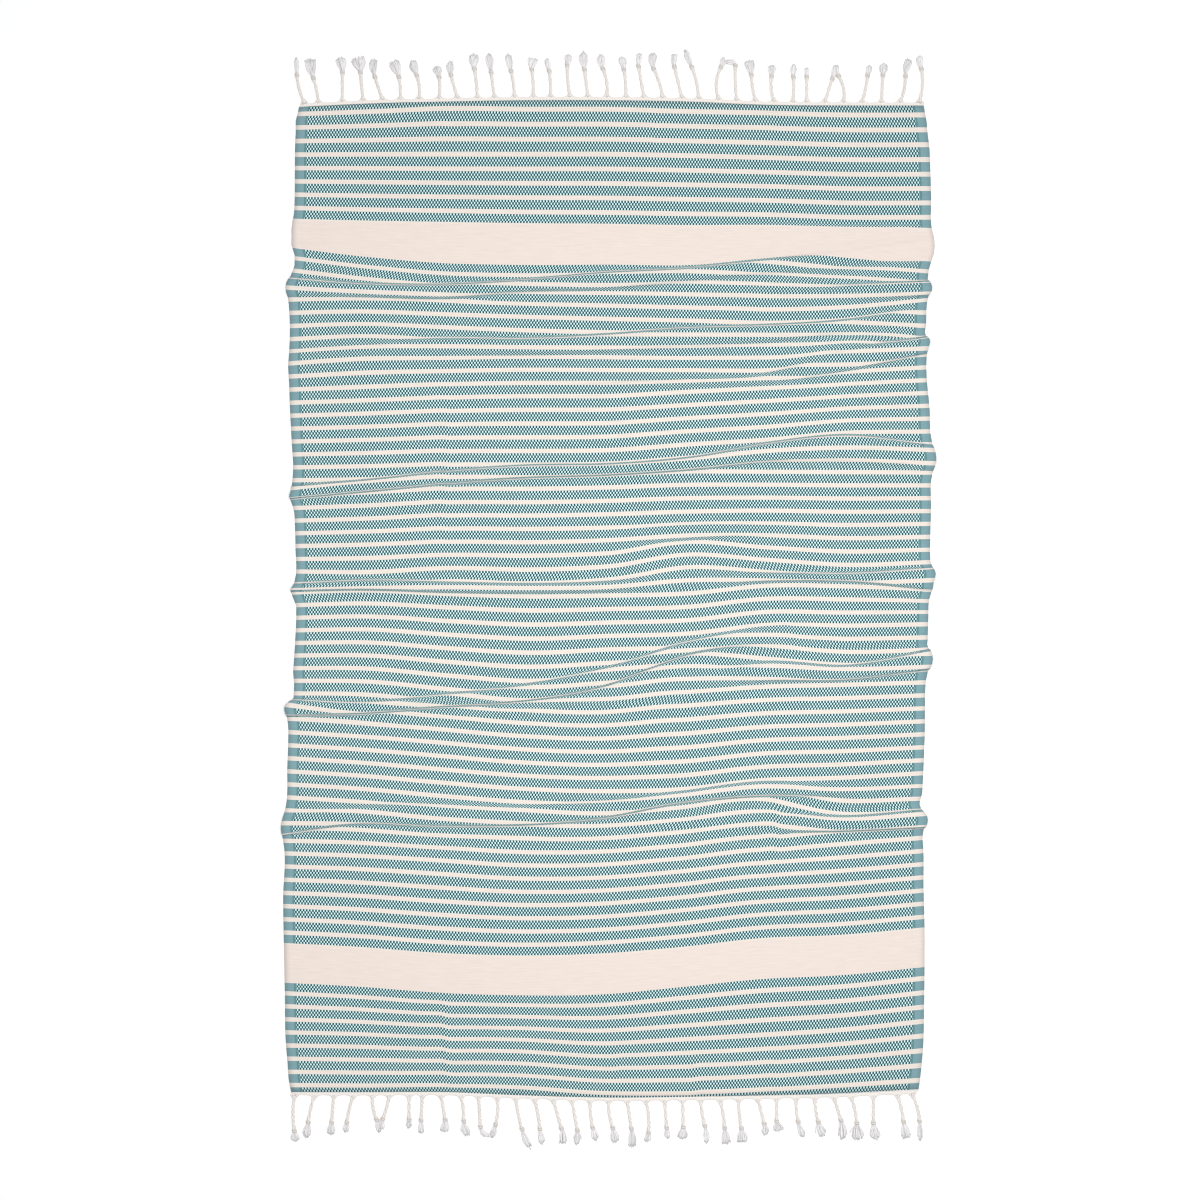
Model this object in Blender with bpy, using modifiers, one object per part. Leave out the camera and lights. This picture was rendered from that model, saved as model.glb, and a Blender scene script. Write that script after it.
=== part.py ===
"""A hammam towel of striped cotton, laid out flat, with low creases across it and knotted fringes.

X runs across the towel, +Y runs to its head end and +Z is up.  The origin lies under the middle of
the towel, on the surface that the towel rests on.  Lengths are in millimetres until a mesh is made.
"""

from collections import namedtuple

import bmesh
import bpy
import numpy as np

MM = 0.001

# Driving dimensions
CLOTH_THICKNESS = 1.5
HEADING_THICKNESS = 2.0
HEADING_DEPTH = 6.2  # the cream rows that the tassels are knotted from
HEADING_GAP = 0.3  # between the cloth's end and the heading
COLUMNS = 21  # lines of the sheet that run from end to end
FLANK_REACH = 2.6  # how far a crease's flank spreads to either side of its line
BROW_SHARE = 0.85  # height of a flank's top, as a share of the crease's height
LONGEST_ROW_GAP = 75.0  # flat cloth between two creases is cut into rows no longer than this

# Places across the towel at which the edges and the creases are given
STATIONS = (-480, -360, -240, -120, 0, 120, 240, 360, 480)

# How far up the towel its two ends lie, at the stations
HEAD_END = (736, 742, 745, 747, 747, 745, 740, 739, 739)
FOOT_END = (-740, -740, -740, -745, -748, -747, -745, -742, -736)

# The two long edges: a row for each bend, from the head to the foot
Edge = namedtuple("Edge", "up left right")
LONG_EDGES = (
    Edge(742, -465, 471), Edge(733, -466, 474), Edge(703, -470, 478), Edge(658, -471, 482),
    Edge(568, -471, 486), Edge(523, -478, 489), Edge(505, -474, 483), Edge(478, -484, 483),
    Edge(448, -480, 478), Edge(418, -480, 476), Edge(380, -480, 482), Edge(350, -480, 477),
    Edge(298, -478, 482), Edge(238, -476, 484), Edge(220, -480, 490), Edge(193, -474, 488),
    Edge(148, -478, 484), Edge(103, -471, 483), Edge(58, -470, 483), Edge(43, -468, 489),
    Edge(13, -477, 483), Edge(-2, -470, 482), Edge(-62, -470, 478), Edge(-92, -474, 486),
    Edge(-125, -472, 476), Edge(-167, -486, 476), Edge(-212, -480, 474), Edge(-272, -483, 471),
    Edge(-332, -489, 478), Edge(-362, -488, 472), Edge(-452, -488, 474), Edge(-602, -484, 474),
    Edge(-677, -483, 471), Edge(-740, -477, 464),
)

# The creases from head to foot.  Each has two flanks, given by how far up the towel they stand at
# the stations, and a height between them, which is 0 where the crease has run out.
Crease = namedtuple("Crease", "name upper lower height")
CREASES = (
    Crease("below the head band",
           upper=(482, 472.5, 471, 478, 489, 496, 509, 523, 541),
           lower=(455, 453, 450, 460, 464, 476, 487, 495, 511),
           height=(3, 5, 6, 6, 5.5, 5.5, 4.5, 2.5, 1)),
    Crease("short one at the right edge",
           upper=(439, 436, 436, 437, 442, 451, 458, 470, 476),
           lower=(430, 427, 427, 428, 430, 436, 442, 446, 454),
           height=(0, 0, 0, 0, 0, 0, 1, 3.5, 6)),
    Crease("rising to the right",
           upper=(373, 382, 391, 390, 396, 406, 410, 418, 439),
           lower=(364, 367, 367, 366, 370, 378, 385, 398, 415),
           height=(0, 2, 3.5, 4.5, 5, 5, 5, 3.5, 1)),
    Crease("narrow, broad at the right edge",
           upper=(304, 307, 311, 316, 323, 329, 336, 373, 392),
           lower=(295, 298, 302, 307, 314, 319, 322, 341, 367),
           height=(0, 0, 0, 1, 2.5, 3, 3, 4, 6)),
    Crease("long one, peaked at the right",
           upper=(168, 178, 191, 200, 202, 212, 233, 245, 230),
           lower=(148.5, 160, 172, 181, 185, 193, 206, 206, 194),
           height=(5, 6, 6, 6, 6.5, 6.5, 6, 5.5, 5)),
    Crease("soft swelling",
           upper=(80, 82, 85, 89, 100, 113, 112, 103, 98),
           lower=(71, 73, 74, 76, 80, 89, 95, 89, 85),
           height=(0, 0, 0, 0, 1, 3, 1.5, 0, 0)),
    Crease("straight one across the middle",
           upper=(21, 28, 24.5, 22.5, 25.5, 37, 38.5, 38.5, 46.5),
           lower=(11, 13, 9.5, 8.5, 11, 17, 26, 25.5, 13),
           height=(5, 6, 5.5, 5.5, 5, 1, 5, 6, 5)),
    Crease("climbing from the left edge",
           upper=(-151, -155, -143, -129, -103, -65, -43, -38, -35),
           lower=(-176, -173, -163, -154, -131, -84, -67, -62, -59),
           height=(6, 5, 5, 5, 5.5, 5, 2.5, 0, 0)),
    Crease("right end of the climbing one",
           upper=(-197, -194, -185, -172, -155, -116, -95, -100, -77),
           lower=(-206, -203, -194, -181, -164, -137, -124, -122, -107),
           height=(0, 0, 0, 0, 0, 1, 4, 5.5, 6)),
    Crease("low one from the left edge",
           upper=(-320, -311, -307, -311, -304, -290, -275, -281, -281),
           lower=(-357, -338, -341, -340, -330, -307, -296, -296, -293),
           height=(4, 4.5, 4.5, 4.5, 4.5, 4.5, 4.5, 2.5, 0)),
    Crease("low one at the right edge",
           upper=(-389, -386, -386, -380, -365, -344, -320, -326, -317),
           lower=(-401, -398, -398, -392, -380, -365, -350, -349, -344),
           height=(0, 0, 0, 0, 0, 0, 1.5, 6, 7)),
)

# A tassel's thickness along its length: the cord, the knot, the tuft and its tip
Girth = namedtuple("Girth", "along radius")
TASSEL_GIRTHS = (
    Girth(0.0, 1.3), Girth(0.55, 2.1), Girth(0.66, 4.0), Girth(0.86, 5.6), Girth(1.0, 3.5),
)
TASSEL_FLATNESS = 0.6  # its thickness over its width, as it lies
ROOT_LIFT = 0.3  # keeps the root inside the heading

# The tassels of each fringe from left to right: the root across the towel, how far the tip leans to
# the right of the root, and how far the tip lies from the middle of the towel
Tassel = namedtuple("Tassel", "root lean tip")
HEAD_TASSELS = (
    Tassel(-454, -12, 811), Tassel(-432, -15, 809), Tassel(-398, -4, 811), Tassel(-366, -10, 811),
    Tassel(-338, -14, 809), Tassel(-310, -12, 806), Tassel(-282, -9, 806), Tassel(-252, -6, 799),
    Tassel(-225, -12, 805), Tassel(-196, -4, 817), Tassel(-170, -8, 817), Tassel(-140, -9, 815),
    Tassel(-112, 0, 811), Tassel(-86, -4, 809), Tassel(-57, -3, 815), Tassel(-30, -6, 821),
    Tassel(-2, -10, 815), Tassel(27, -8, 812), Tassel(52, -6, 818), Tassel(81, -14, 818),
    Tassel(111, -12, 817), Tassel(138, -22, 823), Tassel(166, 6, 812), Tassel(194, -8, 806),
    Tassel(222, -9, 805), Tassel(249, -2, 799), Tassel(278, 2, 800), Tassel(298, -2, 794),
    Tassel(327, 14, 800), Tassel(352, -9, 799), Tassel(381, 12, 799), Tassel(411, 3, 805),
    Tassel(440, 12, 808), Tassel(468, -2, 814),
)
FOOT_TASSELS = (
    Tassel(-470, 2, 814), Tassel(-440, -14, 806), Tassel(-411, -4, 803), Tassel(-382, -12, 799),
    Tassel(-356, 12, 802), Tassel(-328, -14, 799), Tassel(-300, 0, 793), Tassel(-278, -2, 802),
    Tassel(-250, 3, 799), Tassel(-220, 8, 805), Tassel(-195, 10, 806), Tassel(-165, -8, 811),
    Tassel(-140, 22, 823), Tassel(-110, 10, 817), Tassel(-81, 12, 817), Tassel(-54, 9, 817),
    Tassel(-26, 4, 812), Tassel(2, 10, 814), Tassel(30, 6, 820), Tassel(57, 2, 814),
    Tassel(86, 4, 809), Tassel(112, 0, 809), Tassel(140, 9, 817), Tassel(170, 8, 817),
    Tassel(196, 3, 815), Tassel(225, 10, 805), Tassel(252, 6, 797), Tassel(284, 9, 806),
    Tassel(312, 10, 805), Tassel(339, 14, 809), Tassel(366, 10, 811), Tassel(398, 4, 811),
    Tassel(434, 14, 809), Tassel(458, 10, 811),
)


def clear_scene():
    """Remove every object that the scene starts with."""
    for thing in list(bpy.data.objects):
        bpy.data.objects.remove(thing, do_unlink=True)


def new_collection(name):
    """A collection linked to the scene."""
    collection = bpy.data.collections.new(name)
    bpy.context.scene.collection.children.link(collection)
    return collection


def new_material(name, colour, roughness):
    """A plain cotton finish."""
    material = bpy.data.materials.new(name)
    material.use_nodes = True
    shader = material.node_tree.nodes["Principled BSDF"]
    shader.inputs["Base Color"].default_value = (*colour, 1.0)
    shader.inputs["Roughness"].default_value = roughness
    shader.inputs["Metallic"].default_value = 0.0
    return material


def along_stations(values, x):
    """Heights of a smooth curve through one value for each station: cubic pieces whose slope at a
    station is that of the line between its two neighbours."""
    stations = np.array(STATIONS, float)
    values = np.array(values, float)
    slopes = np.gradient(values, stations)
    cell = np.clip(np.searchsorted(stations, x) - 1, 0, len(stations) - 2)
    width = stations[cell + 1] - stations[cell]
    share = (x - stations[cell]) / width
    leaving = width * share * (1 - share) ** 2 * slopes[cell]
    arriving = width * share ** 2 * (1 - share) * slopes[cell + 1]
    rise = (values[cell + 1] - values[cell]) * share ** 2 * (3 - 2 * share)
    return values[cell] + rise + leaving - arriving


def edge_places(up):
    """Left and right ends of a line that crosses the towel at these heights."""
    table = np.array(LONG_EDGES, float)[::-1]
    left = np.interp(up[0], table[:, 0], table[:, 1])
    right = np.interp(up[-1], table[:, 0], table[:, 2])
    return left, right


def crease_rows(crease, x):
    """Five lines over one crease: foot, brow, crown, brow and foot, each as (up, height)."""
    upper = along_stations(crease.upper, x)
    lower = along_stations(crease.lower, x)
    height = np.maximum(along_stations(crease.height, x), 0.0)
    return [
        (upper + FLANK_REACH, 0.0 * height),
        (upper - FLANK_REACH, BROW_SHARE * height),
        ((upper + lower) / 2, height),
        (lower + FLANK_REACH, BROW_SHARE * height),
        (lower - FLANK_REACH, 0.0 * height),
    ]


def sheet_rows(x):
    """Every line across the cloth, from the head end to the foot end, as (up, height)."""
    flat = 0.0 * x
    marks = [(along_stations(HEAD_END, x), flat)]
    for crease in CREASES:
        marks += crease_rows(crease, x)
    marks.append((along_stations(FOOT_END, x), flat))
    rows = [marks[0]]
    for (upper, upper_height), (lower, lower_height) in zip(marks, marks[1:]):
        steps = int(np.ceil((upper - lower).mean() / LONGEST_ROW_GAP))
        for step in range(1, steps):
            rows.append((upper + (lower - upper) * step / steps, flat))
        rows.append((lower, lower_height))
    return rows


def add_sheet(name, rows, thickness, material, collection):
    """An open sheet through the rows, thickened upwards by Solidify."""
    share = np.linspace(0.0, 1.0, COLUMNS)
    points = []
    for up, height in rows:
        left, right = edge_places(up)
        points += list(zip((left + (right - left) * share) * MM, up * MM, height * MM))
    faces = []
    for row in range(len(rows) - 1):
        for column in range(COLUMNS - 1):
            corner = row * COLUMNS + column
            faces.append((corner, corner + COLUMNS, corner + COLUMNS + 1, corner + 1))
    mesh = bpy.data.meshes.new(name)
    mesh.from_pydata(points, [], faces)
    mesh.materials.append(material)
    mesh.shade_smooth()
    sheet = bpy.data.objects.new(name, mesh)
    collection.objects.link(sheet)
    thicken = sheet.modifiers.new("Thickness", "SOLIDIFY")
    thicken.thickness = thickness * MM
    thicken.offset = 1.0
    return sheet


def add_tassel(name, tassel, end, direction, collection):
    """One tassel: a tube of varying thickness along a straight line, pressed flat, as a mesh."""
    start = np.array((tassel.root, end))
    tip = np.array((tassel.root + tassel.lean, direction * tassel.tip))
    curve = bpy.data.curves.new(name, "CURVE")
    curve.dimensions = "3D"
    curve.bevel_depth = MM
    curve.bevel_resolution = 1
    curve.use_fill_caps = True
    spline = curve.splines.new("POLY")
    spline.points.add(len(TASSEL_GIRTHS) - 1)
    for point, girth in zip(spline.points, TASSEL_GIRTHS):
        place = (start + (tip - start) * girth.along) * MM
        point.co = (*place, girth.radius * MM, 1.0)
        point.radius = girth.radius
    spline.points[0].co.z += ROOT_LIFT * MM / TASSEL_FLATNESS
    tube = bpy.data.objects.new(name, curve)
    collection.objects.link(tube)
    bpy.context.view_layer.update()
    mesh = bpy.data.meshes.new_from_object(tube.evaluated_get(bpy.context.evaluated_depsgraph_get()))
    shape = bmesh.new()
    shape.from_mesh(mesh)
    bmesh.ops.remove_doubles(shape, verts=shape.verts, dist=0.01 * MM)
    bmesh.ops.scale(shape, verts=shape.verts, vec=(1.0, 1.0, TASSEL_FLATNESS))
    shape.to_mesh(mesh)
    shape.free()
    solid = bpy.data.objects.new(name, mesh)
    solid.matrix_world = tube.matrix_world
    collection.objects.link(solid)
    bpy.data.objects.remove(tube, do_unlink=True)
    solid.hide_render = True
    solid.display_type = "WIRE"
    return solid


def add_fringe(name, x, end_line, direction, tassels, material, collection):
    """A comb of knotted tassels on the heading that follows one end of the cloth."""
    inner = along_stations(end_line, x) + direction * HEADING_GAP
    outer = inner + direction * HEADING_DEPTH
    lines = [(outer, 0.0 * x), (inner, 0.0 * x)]
    if direction < 0:
        lines.reverse()
    heading = add_sheet(name, lines, HEADING_THICKNESS, material, collection)
    cutters = new_collection(name + "_tassels")
    middle = (inner + outer) / 2
    for number, tassel in enumerate(tassels, 1):
        end = np.interp(tassel.root, x, middle)
        add_tassel(f"{name}_tassel_{number:02d}", tassel, end, direction, cutters)
    join = heading.modifiers.new("Tassels", "BOOLEAN")
    join.operation = "UNION"
    join.solver = "EXACT"
    join.operand_type = "COLLECTION"
    join.collection = cutters
    return heading


def main():
    """Build the towel: the cloth and a fringe at either end."""
    clear_scene()
    parts = new_collection("hammam_towel")
    x = np.linspace(STATIONS[0], STATIONS[-1], COLUMNS)
    woven = new_material("woven_cloth", (0.52, 0.66, 0.66), 0.95)
    head_yarn = new_material("head_yarn", (0.87, 0.80, 0.74), 0.9)
    foot_yarn = new_material("foot_yarn", (0.87, 0.80, 0.74), 0.9)
    add_sheet("cloth", sheet_rows(x), CLOTH_THICKNESS, woven, parts)
    add_fringe("head_fringe", x, HEAD_END, 1, HEAD_TASSELS, head_yarn, parts)
    add_fringe("foot_fringe", x, FOOT_END, -1, FOOT_TASSELS, foot_yarn, parts)


main()
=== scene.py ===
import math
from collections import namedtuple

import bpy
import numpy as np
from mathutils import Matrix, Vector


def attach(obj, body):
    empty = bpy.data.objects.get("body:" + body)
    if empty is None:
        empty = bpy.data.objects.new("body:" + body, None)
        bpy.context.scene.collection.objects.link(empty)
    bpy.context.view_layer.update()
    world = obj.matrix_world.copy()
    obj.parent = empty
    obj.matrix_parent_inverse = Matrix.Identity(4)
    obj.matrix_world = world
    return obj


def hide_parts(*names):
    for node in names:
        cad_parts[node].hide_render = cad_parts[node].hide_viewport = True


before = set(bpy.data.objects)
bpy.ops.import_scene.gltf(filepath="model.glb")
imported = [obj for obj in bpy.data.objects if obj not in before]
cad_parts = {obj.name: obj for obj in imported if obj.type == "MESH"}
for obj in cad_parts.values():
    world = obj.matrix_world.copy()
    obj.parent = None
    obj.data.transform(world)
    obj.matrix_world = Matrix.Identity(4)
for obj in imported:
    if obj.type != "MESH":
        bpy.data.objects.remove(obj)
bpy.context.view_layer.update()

# %% [markdown]
# A hammam towel is a flat cotton cloth, woven with teal stripes on cream, and its warp ends are
# knotted into tassels.  This one was shaken out and laid on a flat surface, so it lies face up,
# with low creases across it where the cloth was pushed together.
#
# The lesson makes it as three pieces: the cloth and one fringe for each end.  Every piece is a
# surface that numpy works out as whole arrays, so a crease, a stripe or a tassel is a few named
# sizes in a table and can be moved by changing them.

MM = 0.001

# %% [markdown]
# ## The outline
# A woven cloth has straight sides on the loom, and loses them as soon as it lies on a floor: each
# crease draws its end in or pushes it out as a small ear.  The two short ends bow gently outwards.
# Both are measured across the real towel and kept as short tables, and a smooth curve runs
# through each.  The same curve function serves for all that follows, so every line across the
# towel is given at nine places, 120 mm apart.

# %% A smooth curve through a few measured places
STATIONS = np.linspace(-480.0, 480.0, 9)  # mm to the right of the middle line
RUN_ON = 0.5  # of its last step, how far a curve may run on past either end


def curve_through(places, values, at):
    """Values of a smooth curve at some places: between two measured places it is the cubic that
    leaves and arrives with the slope of the line between each one's two neighbours."""
    places = np.asarray(places, float)
    values = np.asarray(values, float)
    slopes = np.gradient(values, places)
    cell = np.clip(np.searchsorted(places, at) - 1, 0, len(places) - 2)
    width = places[cell + 1] - places[cell]
    share = np.clip((at - places[cell]) / width, -RUN_ON, 1 + RUN_ON)
    leaving = width * share * (1 - share) ** 2 * slopes[cell]
    arriving = width * share ** 2 * (1 - share) * slopes[cell + 1]
    rise = (values[cell + 1] - values[cell]) * share ** 2 * (3 - 2 * share)
    return values[cell] + rise + leaving - arriving


# %% The two short ends and the two long edges
HEAD_END = (736, 742, 745, 747, 747, 745, 740, 739, 739)
FOOT_END = (-740, -740, -740, -745, -748, -747, -745, -742, -736)

# Pairs of how far up and how far across, from the head end to the foot end
LEFT_EDGE = (
    (742, -463), (731, -464), (720, -467.5), (700, -468), (682, -469), (640, -469.5), (590, -470),
    (575, -471), (560, -474), (540, -474.5), (526, -474), (516, -470), (495, -471), (489, -473),
    (482, -477), (477, -480.5), (463, -483), (451, -480), (432, -478), (370, -478), (348, -479.5),
    (325, -478), (290, -477), (260, -475.5), (230, -474), (200, -472), (174, -473.5), (162, -475),
    (152, -477.5), (146, -475.5), (133, -471), (112, -469.5), (75, -468.5), (30, -469),
    (21, -471.5), (12, -476), (7, -474), (3, -469.5), (-10, -467.5), (-43, -468), (-82, -470),
    (-110, -472), (-130, -470.5), (-146, -470.5), (-151, -473), (-156, -481), (-163, -484.5),
    (-169, -484.5), (-176, -482), (-187, -480), (-215, -479.5), (-250, -480.7), (-312, -483),
    (-321, -485), (-332, -488.5), (-345, -490), (-358, -488), (-370, -486), (-450, -487),
    (-540, -485.5), (-590, -484.5), (-665, -483), (-700, -480), (-722, -478.5), (-740, -475),
)
RIGHT_EDGE = (
    (742, 473), (730, 475), (710, 478.5), (698, 479), (685, 481), (640, 483.3), (605, 484.5),
    (553, 486), (545, 488), (535, 489.5), (524, 489.5), (515, 488), (508, 485.5), (500, 483),
    (493, 481), (478, 480), (475, 482.5), (469, 485), (464, 485.5), (459, 484), (454, 481),
    (446, 479), (410, 477), (395, 476.5), (392, 479), (389, 482), (382, 482), (374, 479.5),
    (364, 477.8), (350, 477.2), (315, 479.2), (285, 482.3), (255, 483), (243, 484), (232, 486.3),
    (225, 489), (217, 491), (208, 492), (201, 491), (194, 488.5), (186, 486), (165, 483.7),
    (147, 484.3), (95, 483.4), (60, 483.3), (53, 484), (47, 487), (42, 490), (34, 491), (27, 488.5),
    (13, 486), (7, 484), (0, 482), (-30, 480.3), (-60, 479.5), (-73, 479.8), (-77, 483),
    (-84, 485.7), (-96, 486), (-103, 483.5), (-111, 478.8), (-120, 477.2), (-165, 475.3),
    (-200, 475), (-235, 473.8), (-290, 471.2), (-315, 469.6), (-319, 473), (-325, 477.5),
    (-334, 478.7), (-341, 477), (-347, 473), (-356, 471.4), (-365, 472.2), (-440, 473.2),
    (-470, 474.2), (-570, 474.5), (-620, 473.8), (-665, 472.8), (-690, 471), (-725, 467.3),
    (-740, 465),
)
LEFT_TABLE = np.array(LEFT_EDGE, float)[::-1]
RIGHT_TABLE = np.array(RIGHT_EDGE, float)[::-1]


def left_edge(up):
    """How far across the left edge lies at these heights up the towel."""
    return curve_through(LEFT_TABLE[:, 0], LEFT_TABLE[:, 1], up)


def right_edge(up):
    """How far across the right edge lies at these heights up the towel."""
    return curve_through(RIGHT_TABLE[:, 0], RIGHT_TABLE[:, 1], up)


heights_up = np.linspace(*LEFT_TABLE[[0, -1], 0], 400)
widths = right_edge(heights_up) - left_edge(heights_up)
print("mean width:", widths.mean().round(1), "mm")

# %% [markdown]
# ## The creases
# Each crease is a loop of spare cloth that stands up between two flanks.  Seen from above it shows
# three things: the stripes meet the upper flank at a slant and vanish into it, the crown carries a
# few of them along the ridge, and the rest come out below the lower flank.
#
# A cloth simulation gives creases of its own, never these.  So each one is listed.  Its row
# says where both flanks run, how high the crown stands, which repeat of the stripes meets the upper
# flank, and how many repeats each flank swallows.  A repeat is one teal stripe and the cream below
# it, and repeats are counted from the head end, so the same number says where a stripe is woven.
# A crease without height that still swallows repeats is cloth drawn together flat.

# %% The creases, from head to foot
REPEAT = 19.8  # mm of flat cloth from one stripe to the next

Crease = namedtuple("Crease", "name upper lower height meets above below")
CREASES = (
    Crease("pucker at the left end of the head band",
           upper=(553, 553, 553, 553, 553, 553, 553, 551, 556),
           lower=(533, 533, 533, 533, 533, 533, 535, 540, 550),
           height=(0, 0, 0, 0, 0, 0, 0, 0, 0),
           meets=(9.57, 9.41, 9.3, 9.2, 9.16, 9.05, 9.12, 9.14, 8.65),
           above=(0.56, 0.2, 0.0, 0, 0, 0, 0, 0, 0),
           below=(0.56, 0.2, 0.0, 0, 0, 0, 0, 0, 0)),
    Crease("below the head band",
           upper=(482, 472.5, 471, 478, 489, 496, 509, 523, 541),
           lower=(455, 453, 450, 460, 464, 476, 487, 495, 511),
           height=(3, 5, 6, 6, 5.5, 5.5, 4.5, 2.5, 1),
           meets=(14.43, 14.25, 13.75, 13.2, 12.65, 12.2, 12.0, 11.25, 9.6),
           above=(0.63, 0.95, 1.3, 1.3, 1.2, 1.35, 0.6, 0.1, 0.3),
           below=(0.07, 0.5, 0.6, 0.43, 0.4, 0.25, 0.25, 0.25, 0.3)),
    Crease("short one at the right edge",
           upper=(439, 436, 436, 437, 442, 451, 458, 470, 476),
           lower=(430, 427, 427, 428, 430, 436, 442, 446, 454),
           height=(0, 0, 0, 0, 0, 0, 1, 3.5, 6),
           meets=(17.28, 17.55, 17.35, 17.1, 16.7, 16.1, 15.6, 14.6, 13.65),
           above=(0, 0, 0, 0, 0, 0, 0, 0.4, 1.2),
           below=(0, 0, 0, 0, 0, 0, 0, 0.15, 0.5)),
    Crease("rising to the right",
           upper=(373, 382, 391, 390, 396, 406, 410, 418, 439),
           lower=(364, 367, 367, 366, 370, 378, 385, 398, 415),
           height=(0, 2, 3.5, 4.5, 5, 5, 5, 3.5, 1),
           meets=(20.6, 20.45, 19.65, 19.45, 19.0, 18.4, 18.0, 17.8, 17.3),
           above=(0.1, 0.15, 0.53, 0.7, 0.82, 0.9, 1.08, 0.85, 0),
           below=(0.05, 0.1, 0.13, 0.3, 0.28, 0.2, 0.27, 0.2, 0)),
    Crease("narrow, broad at the right edge",
           upper=(304, 307, 311, 316, 323, 329, 336, 373, 392),
           lower=(295, 298, 302, 307, 314, 319, 322, 341, 367),
           height=(0, 0, 0, 1, 2.5, 3, 3, 4, 6),
           meets=(24.28, 24.33, 24.35, 24.2, 23.85, 23.55, 23.14, 21.6, 19.7),
           above=(0, 0, 0, 0, 0, 0.15, 0.4, 0.1, 1.25),
           below=(0, 0, 0, 0, 0, 0.15, 0.25, 0.45, 0.55)),
    Crease("long one, peaked at the right",
           upper=(168, 178, 191, 200, 202, 212, 233, 245, 230),
           lower=(148.5, 160, 172, 181, 185, 193, 206, 206, 194),
           height=(5, 6, 6, 6, 6.5, 6.5, 6, 5.5, 5),
           meets=(31.3, 30.87, 30.35, 29.87, 29.85, 29.8, 29.1, 29.03, 29.9),
           above=(0.35, 0.85, 1.05, 1.03, 1.0, 0.95, 1.15, 0.85, 0.55),
           below=(1.5, 1.15, 1.1, 1.15, 1.2, 1.0, 0.4, 0.15, 0.3)),
    Crease("soft swelling",
           upper=(80, 82, 85, 89, 100, 113, 112, 103, 98),
           lower=(71, 73, 74, 76, 80, 89, 95, 89, 85),
           height=(0, 0, 0, 0, 1, 3, 1.5, 0, 0),
           meets=(37.75, 37.78, 37.85, 37.6, 37.15, 36.7, 36.85, 37.2, 37.55),
           above=(0, 0, 0, 0, 0.05, 0.2, 0.1, 0, 0),
           below=(0, 0, 0, 0, 0, 0.5, 0.05, 0, 0)),
    Crease("straight one across the middle",
           upper=(21, 28, 24.5, 22.5, 25.5, 37, 38.5, 38.5, 46.5),
           lower=(11, 13, 9.5, 8.5, 11, 17, 26, 25.5, 13),
           height=(5, 6, 5.5, 5.5, 5, 1, 5, 6, 5),
           meets=(40.87, 40.4, 40.9, 40.84, 41.0, 41.35, 40.87, 40.43, 40.25),
           above=(0.5, 0.8, 0.55, 0.65, 0.42, 0, 0.37, 0.62, 0.62),
           below=(0.83, 0.83, 0.5, 0.38, 0.35, 0, 0.62, 0.75, 0.3)),
    Crease("climbing from the left edge",
           upper=(-151, -155, -143, -129, -103, -65, -43, -38, -35),
           lower=(-176, -173, -163, -154, -131, -84, -67, -62, -59),
           height=(6, 5, 5, 5, 5.5, 5, 2.5, 0, 0),
           meets=(51.3, 51.4, 50.2, 49.1, 48.15, 46.45, 46.0, 45.7, 45.65),
           above=(1.2, 0.55, 0.7, 0.55, 0.5, 0.75, 0.25, 0, 0),
           below=(0.9, 1.35, 1.2, 1.0, 0.75, 0.75, 0.2, 0, 0)),
    Crease("right end of the climbing one",
           upper=(-197, -194, -185, -172, -155, -116, -95, -100, -77),
           lower=(-206, -203, -194, -181, -164, -137, -124, -122, -107),
           height=(0, 0, 0, 0, 0, 1, 4, 5.5, 6),
           meets=(55.7, 55.18, 54.27, 53.1, 52.05, 50.6, 49.05, 48.85, 47.85),
           above=(0, 0, 0, 0, 0, 0, 0.5, 0.7, 0.7),
           below=(0, 0, 0, 0, 0, 0, 0.4, 0.8, 0.8)),
    Crease("low one from the left edge",
           upper=(-320, -311, -307, -311, -304, -290, -275, -281, -281),
           lower=(-357, -338, -341, -340, -330, -307, -296, -296, -293),
           height=(4, 4.5, 4.5, 4.5, 4.5, 4.5, 4.5, 2.5, 0),
           meets=(61.98, 61.15, 60.4, 60.15, 59.6, 59.02, 58.95, 59.45, 59.8),
           above=(0.02, 0.3, 0.3, 0.4, 0.33, 0.58, 0.55, 0.15, 0.05),
           below=(0.65, 0.58, 0.68, 0.9, 1.02, 1.02, 1.05, 0.15, 0)),
    Crease("low one at the right edge",
           upper=(-389, -386, -386, -380, -365, -344, -320, -326, -317),
           lower=(-401, -398, -398, -392, -380, -365, -350, -349, -344),
           height=(0, 0, 0, 0, 0, 0, 1.5, 6, 7),
           meets=(66.2, 65.85, 65.5, 64.83, 64.1, 63.5, 62.8, 62.0, 61.7),
           above=(0, 0, 0, 0, 0, 0, 0.1, 0.65, 0.85),
           below=(0, 0, 0, 0, 0, 0, 0, 1.05, 1.15)),
)

# Stripes that run between the creases and the ends, for the bow of the cloth there
Stripe = namedtuple("Stripe", "repeat up")
HEAD_STRIPES = (
    Stripe(1.33, (716, 719.5, 723.5, 722.5, 722.5, 719.5, 717, 714, 714)),
    Stripe(4.33, (655.5, 655.5, 655, 655, 655, 653, 650, 647, 647)),
    Stripe(8.33, (576, 573, 571, 569, 568, 566, 565, 561, 561)),
)
FOOT_STRIPES = (
    Stripe(72.33, (-510, -516, -525, -529, -526, -516.5, -503, -498, -487.5)),
    Stripe(76.33, (-581.5, -588, -597, -601, -600, -589, -577, -571, -559)),
    Stripe(80.33, (-660, -662.5, -667.5, -670, -676.5, -671.5, -665.5, -657.5, -645)),
    Stripe(83.33, (-719.5, -720.5, -721, -724, -732, -731.5, -726.5, -720, -711.5)),
)
print(len(CREASES), "creases")

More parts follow.
